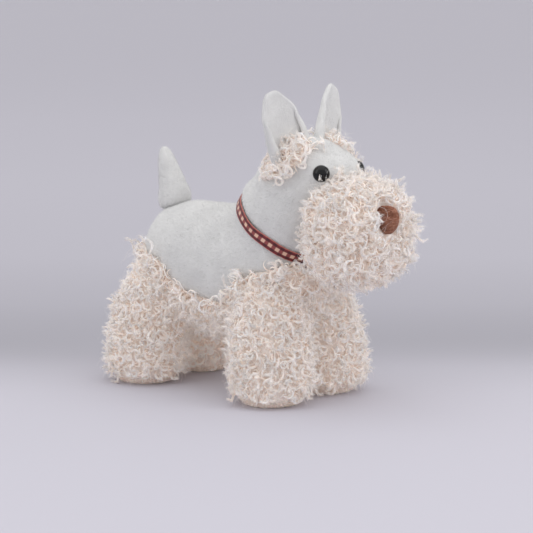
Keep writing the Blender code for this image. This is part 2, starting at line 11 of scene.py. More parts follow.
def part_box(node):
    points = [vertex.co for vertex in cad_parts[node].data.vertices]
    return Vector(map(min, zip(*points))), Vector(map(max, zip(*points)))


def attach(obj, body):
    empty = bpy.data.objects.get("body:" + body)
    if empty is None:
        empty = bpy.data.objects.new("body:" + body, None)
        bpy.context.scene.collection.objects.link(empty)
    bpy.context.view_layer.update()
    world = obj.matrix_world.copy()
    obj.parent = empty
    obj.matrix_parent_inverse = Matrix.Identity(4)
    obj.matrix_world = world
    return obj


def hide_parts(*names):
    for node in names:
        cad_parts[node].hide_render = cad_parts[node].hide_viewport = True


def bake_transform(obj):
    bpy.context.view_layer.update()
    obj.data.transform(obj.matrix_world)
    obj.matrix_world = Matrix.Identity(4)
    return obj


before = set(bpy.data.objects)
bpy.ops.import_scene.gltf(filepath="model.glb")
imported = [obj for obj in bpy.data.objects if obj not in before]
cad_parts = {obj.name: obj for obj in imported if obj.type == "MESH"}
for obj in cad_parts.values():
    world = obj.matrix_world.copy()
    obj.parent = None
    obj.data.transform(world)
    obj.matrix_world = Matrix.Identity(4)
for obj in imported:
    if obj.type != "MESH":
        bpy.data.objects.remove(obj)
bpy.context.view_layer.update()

# Everything below is in metres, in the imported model's frame: the dog faces -Y and its left is +X.
MM = 0.001
SEED = 11
UP = Vector((0.0, 0.0, 1.0))
SIDES = {"left": 1, "right": -1}
LEGS = [(end, side) for end in ("front", "hind") for side in SIDES]

ORIGIN_FORWARD = 28.85


def place(forward, left, up):
    """A point given as millimetres forward, to the dog's left and up."""
    return Vector((left * MM, (ORIGIN_FORWARD - forward) * MM, up * MM))


def heading(forward, left, up):
    return Vector((left, -forward, up)).normalized()


NECK_LEAN = math.radians(38)
NECK_AXIS = heading(math.sin(NECK_LEAN), 0, math.cos(NECK_LEAN))
NECK_CENTRE = place(50, 0, 126) + NECK_AXIS * 0.3 * MM

# ---------------------------------------------------------------- materials


def principled(name, colour, roughness, **more):
    """A material whose Principled surface has these constants; returns it with its tree and surface."""
    mat = bpy.data.materials.new(name)
    mat.use_nodes = True
    surface = mat.node_tree.nodes["Principled BSDF"]
    surface.inputs["Base Color"].default_value = (*colour, 1)
    surface.inputs["Roughness"].default_value = roughness
    for key, value in more.items():
        surface.inputs[key.replace("_", " ")].default_value = value
    return mat, mat.node_tree, surface


def add(tree, kind, **values):
    node = tree.nodes.new(kind)
    for key, value in values.items():
        if key in node.inputs:
            node.inputs[key].default_value = value
        else:
            setattr(node, key, value)
    return node


def fine_bump(tree, surface, scale, strength, distance, stretch=None):
    """A raised grain, made from noise in the piece's own coordinates; returns those coordinates."""
    at = add(tree, "ShaderNodeTexCoord").outputs["Object"]
    if stretch:
        mapping = add(tree, "ShaderNodeMapping")
        mapping.inputs["Scale"].default_value = stretch
        tree.links.new(at, mapping.inputs["Vector"])
        at = mapping.outputs["Vector"]
    noise = add(tree, "ShaderNodeTexNoise", Scale=scale, Detail=3.0, Roughness=0.6)
    tree.links.new(at, noise.inputs["Vector"])
    bump = add(tree, "ShaderNodeBump", Strength=strength, Distance=distance)
    tree.links.new(noise.outputs["Fac"], bump.inputs["Height"])
    tree.links.new(bump.outputs["Normal"], surface.inputs["Normal"])
    return at


def clouded(tree, surface, at, scale, low, high):
    """Soft patches of two close colours."""
    noise = add(tree, "ShaderNodeTexNoise", Scale=scale, Detail=2.0, Roughness=0.5)
    tree.links.new(at, noise.inputs["Vector"])
    ramp = add(tree, "ShaderNodeValToRGB")
    ramp.color_ramp.elements[0].position = 0.35
    ramp.color_ramp.elements[0].color = (*low, 1)
    ramp.color_ramp.elements[1].position = 0.65
    ramp.color_ramp.elements[1].color = (*high, 1)
    tree.links.new(noise.outputs["Fac"], ramp.inputs["Fac"])
    tree.links.new(ramp.outputs["Color"], surface.inputs["Base Color"])


def make_materials():
    made = {}

    mat, tree, surface = principled(
        "short_white_pile", (0.64, 0.64, 0.63), 0.9,
        Sheen_Weight=0.5, Sheen_Roughness=0.6, Specular_IOR_Level=0.15,
    )
    at = fine_bump(tree, surface, 900, 0.5, 0.0006)
    clouded(tree, surface, at, 60, (0.64, 0.64, 0.635), (0.71, 0.71, 0.70))
    made["pile"] = mat

    for name, colour, roughness, gloss in (
        ("pile_hair", (0.74, 0.74, 0.735), 0.85, 0.2),
        ("pile_hair_shade", (0.66, 0.66, 0.65), 0.9, 0.1),
    ):
        made[name] = principled(name, colour, roughness, Specular_IOR_Level=gloss)[0]

    mat, tree, surface = principled("mohair_backing", (0.92, 0.85, 0.79), 0.95, Specular_IOR_Level=0.1)
    at = fine_bump(tree, surface, 500, 0.8, 0.001)
    clouded(tree, surface, at, 90, (0.89, 0.80, 0.72), (0.94, 0.88, 0.83))
    made["backing"] = mat

    # The faint glow is painted light: it stands for light that passes through the fibres of neighbouring
    # curls. The deep tone is painted shade on the roots of every strand and in the under fluff; in the sole
    # nap it is a darker tone mixed in at random.
    tones = {
        "mohair_deep_and_shade": ((0.94, 0.83, 0.75), 0.85, (1.0, 0.76, 0.64), 0.13),
        "mohair_warm": ((0.96, 0.89, 0.83), 0.7, (1.0, 0.82, 0.72), 0.11),
        "mohair_cream": ((0.975, 0.93, 0.89), 0.65, (1.0, 0.86, 0.78), 0.09),
        "mohair_light": ((0.975, 0.945, 0.92), 0.6, (1.0, 0.88, 0.82), 0.07),
    }
    for name, (colour, roughness, glow, strength) in tones.items():
        made[name] = principled(
            name, colour, roughness, Specular_IOR_Level=0.2, Sheen_Weight=0.3, Sheen_Roughness=0.5,
            Subsurface_Weight=0.4, Subsurface_Scale=2 * MM, Subsurface_Radius=(1.0, 0.7, 0.5),
            Emission_Color=(*glow, 1), Emission_Strength=strength,
        )[0]

    mat, tree, surface = principled("sole_cloth", (0.84, 0.70, 0.60), 0.9, Sheen_Weight=0.3)
    at = fine_bump(tree, surface, 420, 0.6, 0.0008, stretch=(1, 1, 3))
    clouded(tree, surface, at, 120, (0.78, 0.62, 0.51), (0.87, 0.76, 0.67))
    made["sole"] = mat

    mat, tree, surface = principled("felted_wool", (0.40, 0.17, 0.10), 0.95, Specular_IOR_Level=0.15)
    at = fine_bump(tree, surface, 1400, 0.8, 0.0006, stretch=(1, 1, 4))
    clouded(tree, surface, at, 350, (0.30, 0.12, 0.075), (0.47, 0.22, 0.14))
    made["felt"] = mat
    for name, colour in (
        ("felt_dark", (0.22, 0.09, 0.06)),
        ("felt_mid", (0.42, 0.19, 0.12)),
        ("felt_light", (0.66, 0.38, 0.28)),
    ):
        made[name] = principled(name, colour, 0.9, Specular_IOR_Level=0.2)[0]

    mat, tree, surface = principled("glossy_black", (0.003, 0.003, 0.004), 0.05, Specular_IOR_Level=0.35)
    fine_bump(tree, surface, 120, 0.02, 0.0002)
    made["black"] = mat

    for name, colour in (
        ("ribbon_burgundy", (0.07, 0.004, 0.009)),
        ("ribbon_red", (0.155, 0.010, 0.017)),
        ("ribbon_rose", (0.26, 0.05, 0.05)),
        ("ribbon_cream", (0.70, 0.46, 0.34)),
        ("ribbon_selvedge", (0.58, 0.17, 0.13)),
    ):
        mat, tree, surface = principled(name, colour, 0.6, Sheen_Weight=0.15)
        fine_bump(tree, surface, 2600, 0.5, 0.0002)
        made[name] = mat

    mat, tree, surface = principled("pressed_board", (0.27, 0.16, 0.09), 0.75)
    at = fine_bump(tree, surface, 800, 0.4, 0.0003)
    clouded(tree, surface, at, 500, (0.21, 0.12, 0.065), (0.33, 0.21, 0.12))
    made["board"] = mat

    mat, tree, surface = principled("zinc_steel", (0.55, 0.55, 0.56), 0.35, Metallic=1.0)
    fine_bump(tree, surface, 700, 0.15, 0.0001)
    made["steel"] = mat

    mat, tree, surface = principled("white_plastic", (0.78, 0.78, 0.76), 0.4)
    fine_bump(tree, surface, 600, 0.1, 0.0001)
    made["plastic"] = mat

    return made


MATERIALS = make_materials()

# ---------------------------------------------------------------- meshes


def mesh_piece(name, points, faces, slots, slot_of_face=None, smooth=True):
    """An object from points and lists of equal-sided faces; slots are its materials by name."""
    mesh = bpy.data.meshes.new(name)
    groups = [np.asarray(f, np.int32) for f in faces if len(f)]
    corners = np.concatenate([g.ravel() for g in groups])
    sizes = np.concatenate([np.full(len(g), g.shape[1], np.int32) for g in groups])
    starts = np.concatenate([[0], np.cumsum(sizes)[:-1]]).astype(np.int32)
    mesh.vertices.add(len(points))
    mesh.vertices.foreach_set("co", np.asarray(points, np.float32).ravel())
    mesh.loops.add(len(corners))
    mesh.loops.foreach_set("vertex_index", corners)
    mesh.polygons.add(len(sizes))
    mesh.polygons.foreach_set("loop_start", starts)
    for slot in slots:
        mesh.materials.append(MATERIALS[slot])
    if slot_of_face is not None:
        mesh.polygons.foreach_set("material_index", np.asarray(slot_of_face, np.int32))
    mesh.update(calc_edges=True)
    if smooth:
        mesh.shade_smooth()
    else:
        mesh.shade_flat()
    obj = bpy.data.objects.new(name, mesh)
    bpy.context.scene.collection.objects.link(obj)
    return obj


def arrays(mesh):
    """Points, normals and triangles of a mesh."""
    points = np.empty(len(mesh.vertices) * 3)
    mesh.vertices.foreach_get("co", points)
    normals = np.empty(len(mesh.vertices) * 3)
    mesh.vertices.foreach_get("normal", normals)
    mesh.calc_loop_triangles()
    triangles = np.empty(len(mesh.loop_triangles) * 3, np.int32)
    mesh.loop_triangles.foreach_get("vertices", triangles)
    return points.reshape(-1, 3), normals.reshape(-1, 3), triangles.reshape(-1, 3)


def applied(obj):
    """Turns what the modifiers make into the object's own mesh."""
    bpy.context.view_layer.update()
    graph = bpy.context.evaluated_depsgraph_get()
    mesh = bpy.data.meshes.new_from_object(obj.evaluated_get(graph))
    old = obj.data
    obj.modifiers.clear()
    obj.data = mesh
    bpy.data.meshes.remove(old)
    return obj


def face_outwards(obj):
    """Turns every face of a closed piece so that it faces out."""
    bm = bmesh.new()
    bm.from_mesh(obj.data)
    bmesh.ops.recalc_face_normals(bm, faces=bm.faces)
    bm.to_mesh(obj.data)
    bm.free()


def outer_island(obj):
    """Leaves only the largest connected surface, so walls inside a form go."""
    bm = bmesh.new()
    bm.from_mesh(obj.data)
    left, best = set(bm.verts), []
    while left:
        start = left.pop()
        island, edge = [start], [start]
        while edge:
            for e in edge.pop().link_edges:
                for v in e.verts:
                    if v in left:
                        left.remove(v)
                        island.append(v)
                        edge.append(v)
        if len(island) > len(best):
            best = island
    keep = set(best)
    bmesh.ops.delete(bm, geom=[v for v in bm.verts if v not in keep], context="VERTS")
    bm.to_mesh(obj.data)
    bm.free()
    return obj


def soft_form(name, nodes, voxel, smoothing):
    """One closed surface round copies of these CAD nodes."""
    bm = bmesh.new()
    for node in nodes:
        bm.from_mesh(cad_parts[node].data)
    mesh = bpy.data.meshes.new(name)
    bm.to_mesh(mesh)
    bm.free()
    obj = bpy.data.objects.new(name, mesh)
    bpy.context.scene.collection.objects.link(obj)
    remesh = obj.modifiers.new("voxels", "REMESH")
    remesh.mode = "VOXEL"
    remesh.voxel_size = voxel
    outer_island(applied(obj))
    smooth = obj.modifiers.new("smooth", "SMOOTH")
    smooth.factor = 0.5
    smooth.iterations = smoothing
    return applied(obj)


def puff(forms, pressure, cap, still, frames=20):
    """Blows the forms up as filled cloth; no point moves past the cap, or at all where it is still."""
    rest = {}
    for obj in forms:
        rest[obj] = arrays(obj.data)[0]
        held = obj.vertex_groups.new(name="held")
        for i, p in enumerate(rest[obj]):
            if still(p):
                held.add([i], 1.0, "REPLACE")
        cloth = obj.modifiers.new("cloth", "CLOTH")
        cloth.settings.quality = 4
        cloth.settings.use_pressure = True
        cloth.settings.uniform_pressure_force = pressure
        cloth.settings.vertex_group_mass = "held"
        cloth.settings.effector_weights.gravity = 0
        cloth.point_cache.frame_start = 1
        cloth.point_cache.frame_end = frames
    scene = bpy.context.scene
    for number in range(1, frames + 1):
        scene.frame_set(number)
    graph = bpy.context.evaluated_depsgraph_get()
    for obj in forms:
        mesh = obj.evaluated_get(graph).to_mesh()
        blown = np.empty(len(mesh.vertices) * 3)
        mesh.vertices.foreach_get("co", blown)
        obj.evaluated_get(graph).to_mesh_clear()
        move = blown.reshape(-1, 3) - rest[obj]
        size = np.linalg.norm(move, axis=1, keepdims=True)
        move *= np.minimum(1, cap / np.maximum(size, 1e-9))
        obj.modifiers.clear()
        obj.vertex_groups.clear()
        obj.data.vertices.foreach_set("co", (rest[obj] + move).ravel())
        obj.data.update()
    scene.frame_set(1)


def tree_of(node):
    points, _, triangles = arrays(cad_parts[node].data)
    return BVHTree.FromPolygons([Vector(p) for p in points], triangles.tolist())


def regions_of(obj, nodes):
    """For each face, the number of the CAD node it lies nearest."""
    trees = [tree_of(node) for node in nodes]
    found = []
    for face in obj.data.polygons:
        at = face.center
        distances = [tree.find_nearest(at)[3] for tree in trees]
        found.append(int(np.argmin(distances)))
    return np.array(found)


def settle_seams(obj, regions, pucker):
    """Evens out the lines where regions meet and draws them in, as a seam does."""
    mesh = obj.data
    points, normals, _ = arrays(mesh)
    touching = [set() for _ in mesh.vertices]
    for face, region in zip(mesh.polygons, regions):
        for v in face.vertices:
            touching[v].add(region)
    seam = {v for v, found in enumerate(touching) if len(found) > 1}
    beside = {v: [] for v in seam}
    for edge in mesh.edges:
        a, b = edge.vertices
        if a in seam and b in seam:
            beside[a].append(b)
            beside[b].append(a)
    for _ in range(6):
        moved = {v: points[near].mean(0) for v, near in beside.items() if len(near) > 1}
        for v, p in moved.items():
            points[v] = 0.5 * points[v] + 0.5 * p
    for v in seam:
        points[v] -= normals[v] * pucker
    mesh.vertices.foreach_set("co", points.ravel())
    mesh.update()


def panel(name, obj, regions, wanted, slot, thickness=1.2 * MM):
    """The faces of some regions as a piece of their own, with a thickness inwards."""
    mesh = obj.data
    chosen = [f for f, region in zip(mesh.polygons, regions) if region in wanted]
    used = sorted({v for f in chosen for v in f.vertices})
    index = {v: i for i, v in enumerate(used)}
    points = np.array([mesh.vertices[v].co for v in used])
    faces = [[index[v] for v in f.vertices] for f in chosen]
    quads = [f for f in faces if len(f) == 4]
    others = [f for f in faces if len(f) == 3]
    piece = mesh_piece(name, points, [quads, others], [slot])
    piece.data.update()
    skin = arrays(piece.data)
    solid = piece.modifiers.new("thickness", "SOLIDIFY")
    solid.thickness = thickness
    solid.offset = -1
    applied(piece)
    piece.data.shade_smooth()
    return piece, skin


# ---------------------------------------------------------------- hair


def unit(v):
    return v / np.maximum(np.linalg.norm(v, axis=-1, keepdims=True), 1e-9)


TRIES_PER_ROOT = 4


def sprinkle(skin, density, rng):
    """Random roots and normals, so many to the square metre."""
    points, normals, triangles = skin
    corners = points[triangles]
    doubled = np.cross(corners[:, 1] - corners[:, 0], corners[:, 2] - corners[:, 0])
    areas = np.linalg.norm(doubled, axis=1) / 2
    count = int(areas.sum() * density)
    pick = rng.choice(len(triangles), count, p=areas / areas.sum())
    u, v = rng.random((2, count))
    over = u + v > 1
    u[over], v[over] = 1 - u[over], 1 - v[over]
    weights = np.stack([1 - u - v, u, v], 1)[:, :, None]
    return (points[triangles[pick]] * weights).sum(1), unit((normals[triangles[pick]] * weights).sum(1))


def scatter(skin, spacing, rng):
    """Roots and normals spread evenly over a skin, none nearer than the spacing."""
    roots, ways = sprinkle(skin, TRIES_PER_ROOT / spacing**2, rng)
    tree = KDTree(len(roots))
    for i, p in enumerate(roots):
        tree.insert(p, i)
    tree.balance()
    kept, blocked = [], np.zeros(len(roots), bool)
    for i, p in enumerate(roots):
        if not blocked[i]:
            kept.append(i)
            for _, j, _ in tree.find_range(p, spacing):
                blocked[j] = True
    return roots[kept], ways[kept]


def turned_by(vectors, axes, angles):
    """Vectors turned about unit axes, row by row."""
    c, s = np.cos(angles)[..., None], np.sin(angles)[..., None]
    along = (vectors * axes).sum(-1, keepdims=True)
    return vectors * c + np.cross(axes, vectors) * s + axes * along * (1 - c)


def ringlet_paths(roots, ways, rng, length, turn, steps, droop, size=1.0):
    """Curl centre lines: each rises off the skin and winds into an open or closed ring."""
    n = len(roots)
    across = rng.normal(size=(n, 3)) + np.array([0, 0, -droop])
    lay = unit(across - ways * (across * ways).sum(1, keepdims=True))
    side = np.cross(ways, lay)
    tilt = rng.choice([-1, 1], n) * rng.uniform(0.15, 1.3, n)
    axis = unit(side * np.cos(tilt)[:, None] + ways * np.sin(tilt)[:, None])
    lean = np.abs(tilt) * 0.62 + rng.uniform(-0.1, 0.25, n)
    start = ways * np.cos(lean)[:, None] + lay * np.sin(lean)[:, None]
    total = rng.uniform(*turn, n)
    reach = rng.uniform(*length, n) * size
    s = np.linspace(0, 1, steps)
    wound = np.clip((s - 0.12) / 0.88, 0, 1) ** 1.12
    direction = turned_by(start[:, None, :], axis[:, None, :], total[:, None] * wound[None, :])
    step = (reach / (steps - 1))[:, None, None]
    path = roots[:, None, :] + np.concatenate(
        [np.zeros((n, 1, 3)), np.cumsum(direction[:, :-1] * step, axis=1)], axis=1
    )
    height = ((path - roots[:, None, :]) * ways[:, None, :]).sum(-1)
    low = np.maximum(0.5 * MM * np.minimum(1, s * 6)[None, :] - height, 0)
    path += ways[:, None, :] * low[:, :, None]
    return path, axis


def framed(path, axis):
    """Two directions square to each path at every step."""
    tangent = unit(np.gradient(path, axis=1))
    side = unit(np.cross(tangent, axis[:, None, :]))
    return side, np.cross(tangent, side)


def lock_paths(path, axis, count, spread, rng):
    """The strands of each lock, which keep beside its centre line and part a little at the tip."""
    n, steps, _ = path.shape
    side, up = framed(path, axis)
    s = np.linspace(0, 1, steps)[None, :]
    strands = []
    for j in range(count):
        phase = rng.uniform(0, 2 * np.pi, (n, 1)) + rng.uniform(-2.2, 2.2, (n, 1)) * s
        away = spread * (0.35 + 0.75 * s**0.7) * rng.uniform(0.5, 1.25, (n, 1))
        shift = side * (np.cos(phase) * away)[..., None] + up * (np.sin(phase) * away)[..., None]
        strands.append(path + shift)
    return np.concatenate(strands)


TUBE_SIDES = 3


def triangles_in_tube(steps):
    """The side faces of one tube, two triangles each, and its two end caps."""
    return (steps - 1) * TUBE_SIDES * 2 + 2


def tubes(path, axis, thick):
    """Tapered tubes along the paths, as points, side faces and end caps, with each face's strand and step."""
    sides = TUBE_SIDES
    n, steps, _ = path.shape
    side, up = framed(path, axis)
    s = np.linspace(0, 1, steps)
    radius = np.asarray(thick)[:, None] / 2 * (0.75 + 0.25 * np.minimum(1, s * 5)) * (1 - 0.75 * s**3)
    turn = np.linspace(0, 2 * np.pi, sides, endpoint=False)
    ring = side[:, :, None, :] * np.cos(turn)[:, None] - up[:, :, None, :] * np.sin(turn)[:, None]
    points = (path[:, :, None, :] + ring * radius[..., None, None]).reshape(-1, 3)
    first = (np.arange(n) * steps * sides)[:, None, None]
    j = np.arange(steps - 1)[None, :, None] * sides
    m = np.arange(sides)[None, None, :]
    a, b = first + j + m, first + j + (m + 1) % sides
    quads = np.stack([a, b, b + sides, a + sides], -1).reshape(-1, 4)
    root = first[:, 0] + np.arange(sides)[::-1]
    tip = first[:, 0] + (steps - 1) * sides + np.arange(sides)
    caps = np.concatenate([root, tip])
    strand = np.repeat(np.arange(n), (steps - 1) * sides)
    place_on = np.tile(np.repeat(np.arange(steps - 1), sides), n)
    return points, quads, caps, strand, place_on


def hair_piece(name, path, axis, thick, tone, slots, shaded_root_steps):
    """One piece of hair: slot 0 paints shade on the first steps of each strand, and its own tone colours the
    rest.
    """
    points, quads, caps, strand, at = tubes(path, axis, thick)
    points[:, 2] = np.maximum(points[:, 2], 0.1 * MM)
    slot_quads = np.where(at < shaded_root_steps, 0, tone[strand])
    slot_caps = np.concatenate([np.zeros(len(path), int), tone])
    return mesh_piece(name, points, [quads, caps], slots, np.concatenate([slot_quads, slot_caps]))


MOHAIR = ["mohair_deep_and_shade", "mohair_warm", "mohair_cream", "mohair_light"]
MOST_TRIANGLES = 185000


def cover(name, skin, body, rng, spacing, keep, make, each):
    """Roots hair over a skin and makes it in as many pieces as keep each one small."""
    roots, ways = scatter(skin, spacing, rng)
    if keep is not None:
        kept = np.array([keep(Vector(p)) for p in roots], bool)
        roots, ways = roots[kept], ways[kept]
    order = np.argsort(-roots[:, 2])
    roots, ways = roots[order], ways[order]
    parts = max(1, math.ceil(len(roots) * each / MOST_TRIANGLES))
    for number, chosen in enumerate(np.array_split(np.arange(len(roots)), parts)):
        suffix = f"_{number + 1}" if parts > 1 else ""
        piece = make(name + suffix, roots[chosen], ways[chosen])
        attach(piece, body)


def curls(name, skin, body, rng, spacing, length, turn, droop=0.6, keep=None, shorter=None):
    """Covers a skin in ringlets over a layer of short fluff, with loose wisps between them."""
    core_steps, fluff_steps, wisp_steps = 11, 7, 8
    strands = 9

    def paths(roots, ways, reach, winding, steps, fall):
        size = shorter(roots) if shorter else 1.0
        return ringlet_paths(roots, ways, rng, reach, winding, steps, fall, size)

    def ringlets(piece_name, roots, ways):
        path, axis = paths(roots, ways, length, turn, core_steps, droop)
        many = np.concatenate([path, lock_paths(path, axis, strands, 1.15 * MM, rng)])
        axes = np.tile(axis, (strands + 1, 1))
        tone = np.tile(rng.choice([1, 2, 3], len(roots), p=[0.25, 0.45, 0.30]), strands + 1)
        change = rng.random(len(tone)) < 0.35
        tone[change] = rng.choice([1, 2, 3], change.sum())
        width = 0.34 * MM * rng.uniform(0.75, 1.2, len(tone))
        width[: len(roots)] *= 3.6
        return hair_piece(piece_name, many, axes, width, tone, MOHAIR, 2)

    def fluff(piece_name, roots, ways):
        low = (length[0] * 0.45, length[1] * 0.55)
        path, axis = paths(roots, ways, low, (2.0, 5.0), fluff_steps, 0.2)
        # Painted shade: the under fluff, lying beneath the curls, takes the deep tone often and the light
        # tone never.
        tone = rng.choice([0, 1, 2], len(roots), p=[0.3, 0.45, 0.25])
        width = 1.3 * MM * rng.uniform(0.7, 1.2, len(roots))
        return hair_piece(piece_name, path, axis, width, tone, MOHAIR, 1)

    def wisps(piece_name, roots, ways):
        long = (length[0] * 0.7, length[1] * 0.9)
        path, axis = paths(roots, ways, long, (1.2, 4.0), wisp_steps, droop)
        tone = rng.choice([2, 3], len(roots))
        width = 0.16 * MM * rng.uniform(0.7, 1.2, len(roots))
        return hair_piece(piece_name, path, axis, width, tone, MOHAIR, 1)

    for kind, apart, make, tubes_each, steps in (
        ("curls", 1.0, ringlets, strands + 1, core_steps),
        ("fluff", 0.72, fluff, 1, fluff_steps),
        ("wisps", 0.62, wisps, 1, wisp_steps),
    ):
        each = tubes_each * triangles_in_tube(steps)
        cover(f"{name}_{kind}", skin, body, rng, spacing * apart, keep, make, each)


PILE = ("smooth_pile", ["pile_hair", "pile_hair_shade"])
SOLE_PILE = ("sole_cloth", ["mohair_warm", "mohair_deep_and_shade"])


def short_pile(name, skin, body, rng, density, length, width, lay, blend=None, kind=PILE, below=None):
    """A nap of small pointed hairs that lie one way."""
    roots, ways = sprinkle(skin, density, rng)
    if below is not None:
        roots, ways = roots[roots[:, 2] < below], ways[roots[:, 2] < below]
    n = len(roots)
    along = np.array(lay) + rng.normal(size=(n, 3)) * 0.45
    along = unit(along - ways * (along * ways).sum(1, keepdims=True))
    side = np.cross(ways, along)
    reach = length * rng.uniform(0.6, 1.25, n)[:, None]
    rise = rng.uniform(0.35, 0.95, n)[:, None]
    half = width / 2 * rng.uniform(0.7, 1.3, n)[:, None]
    tips = roots + reach * (ways * rise + along * np.sqrt(1 - rise**2 * 0.9))
    roots = roots - ways * 0.2 * MM
    points = np.stack([roots - side * half, roots + side * half, tips], 1).reshape(-1, 3)
    points[:, 2] = np.maximum(points[:, 2], 0.1 * MM)
    faces = np.arange(3 * n).reshape(-1, 3)
    slot = rng.choice([0, 1], n, p=[0.7, 0.3])
    piece = mesh_piece(f"{name}_nap", points, [faces], kind[1], slot, smooth=False)
    if blend:
        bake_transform(piece)
    else:
        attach(piece, body)


# ---------------------------------------------------------------- torso and head forms

NAP = (0, 0.8, -0.6)
NAP_LENGTH = 1.6 * MM
NAP_WIDTH = 0.16 * MM
NAP_DENSITY = 3.2e6

TORSO_NODES = ["body_saddle_panel", "belly_panel", "chest_panel"]
TORSO_NODES += [f"{end}_{side}_{part}" for end, side in LEGS for part in ("leg_skin", "sole")]
TORSO_FILLING = ["body_stuffing", "neck_disc_body"] + [f"{end}_{side}_leg_stuffing" for end, side in LEGS]
HEAD_NODES = ["head_skin", "muzzle_skin", "left_brow_patch", "right_brow_patch"]
HEAD_FILLING = ["head_stuffing", "muzzle_stuffing", "neck_disc_head"]


def near_joint(p):
    """True by the neck joint and under the feet, where the cloth doesn't swell."""
    return abs((Vector(p) - NECK_CENTRE).dot(NECK_AXIS)) < 5.5 * MM or p[2] < 5 * MM


def shape_nape(head):
    """Fills the back of the neck out over the ribbon and draws it in higher up."""
    points, normals, _ = arrays(head.data)
    axis = np.array(NECK_AXIS)
    above = (points - np.array(NECK_CENTRE)) @ axis / MM
    behind = np.clip((points[:, 1] - NECK_CENTRE.y) / (25 * MM), 0, 1)
    inwards = np.exp(-(((above - 22) / 9) ** 2)) * 3.0
    outwards = np.exp(-(((above - 6.5) / 4) ** 2)) * 2.8
    points += normals * ((outwards - inwards) * behind * MM)[:, None]
    head.data.vertices.foreach_set("co", points.ravel())
    head.data.update()


def make_forms():
    torso = soft_form("torso_form", TORSO_NODES + TORSO_FILLING, 2.4 * MM, 3)
    head = soft_form("head_form", HEAD_NODES + HEAD_FILLING, 2.0 * MM, 3)
    puff([torso, head], 4.0, 1.4 * MM, near_joint)
    shape_nape(head)
    return torso, head


SOLE_LINE = 8.5 * MM


def above_sole(p):
    return p.z > SOLE_LINE


def shorter_at_hip(roots):
    return np.clip(1.0 - (roots[:, 2] / MM - 70) / 40, 0.55, 1.0)


def sole_pile(name, skin, rng, below=None):
    density, lay = NAP_DENSITY * 0.7, (0, 0, -1)
    short_pile(name, skin, "torso", rng, density, 2.3 * MM, 0.2 * MM, lay, kind=SOLE_PILE, below=below)


def make_torso(torso, rng):
    regions = regions_of(torso, TORSO_NODES)
    settle_seams(torso, regions, 0.7 * MM)
    saddle, skin = panel("saddle_plush", torso, regions, {0}, "pile")
    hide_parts("body_saddle_panel", "body_stuffing")
    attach(saddle, "torso")
    short_pile("saddle", skin, "torso", rng, NAP_DENSITY, NAP_LENGTH, NAP_WIDTH, NAP)
    for number, name, long in ((1, "belly", (20 * MM, 28 * MM)), (2, "chest", (15 * MM, 22 * MM))):
        piece, skin = panel(f"{name}_backing", torso, regions, {number}, "backing")
        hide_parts(f"{name}_panel")
        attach(piece, "torso")
        curls(name, skin, "torso", rng, 3.3 * MM, long, (4.6, 8.0), droop=1.2)
    for i, (end, side) in enumerate(LEGS):
        name = f"{end}_{side}"
        piece, skin = panel(f"{name}_leg_backing", torso, regions, {3 + 2 * i}, "backing")
        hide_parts(f"{name}_leg_skin", f"{name}_leg_stuffing")
        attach(piece, "torso")
        curls(
            f"{name}_leg", skin, "torso", rng, 3.2 * MM, (12.5 * MM, 18.5 * MM), (5.0, 8.2),
            keep=above_sole, shorter=shorter_at_hip,
        )
        sole_pile(f"{name}_leg", skin, rng, below=SOLE_LINE + 1.5 * MM)
        sole, skin = panel(f"{name}_sole_cloth", torso, regions, {4 + 2 * i}, "sole")
        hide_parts(f"{name}_sole")
        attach(sole, "torso")
        sole_pile(f"{name}_sole", skin, rng)
    bpy.data.objects.remove(torso)


NOSE_DROP = 1.8 * MM
NOSE_BARE = 13 * MM
EYE_BARE = 8.3 * MM
EYE_RADIUS = 6.0 * MM
EYE_DROP = 1.2 * MM
EYE_SUNK = 2.6 * MM
NOSE_CENTRE = place(139, 0, 138) - UP * NOSE_DROP
EYE_LOOK = {side: heading(0.62, sign * 0.78, 0.05) for side, sign in SIDES.items()}


def eye_seat(side):
    """Centre of the eye on the skin, found from its CAD dome."""
    points, _, _ = arrays(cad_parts[f"{side}_eye"].data)
    look = np.array(EYE_LOOK[side])
    reach = points @ look
    top = points[reach > reach.max() - 0.05 * MM].mean(0)
    return Vector(top) - EYE_LOOK[side] * EYE_RADIUS - UP * EYE_DROP


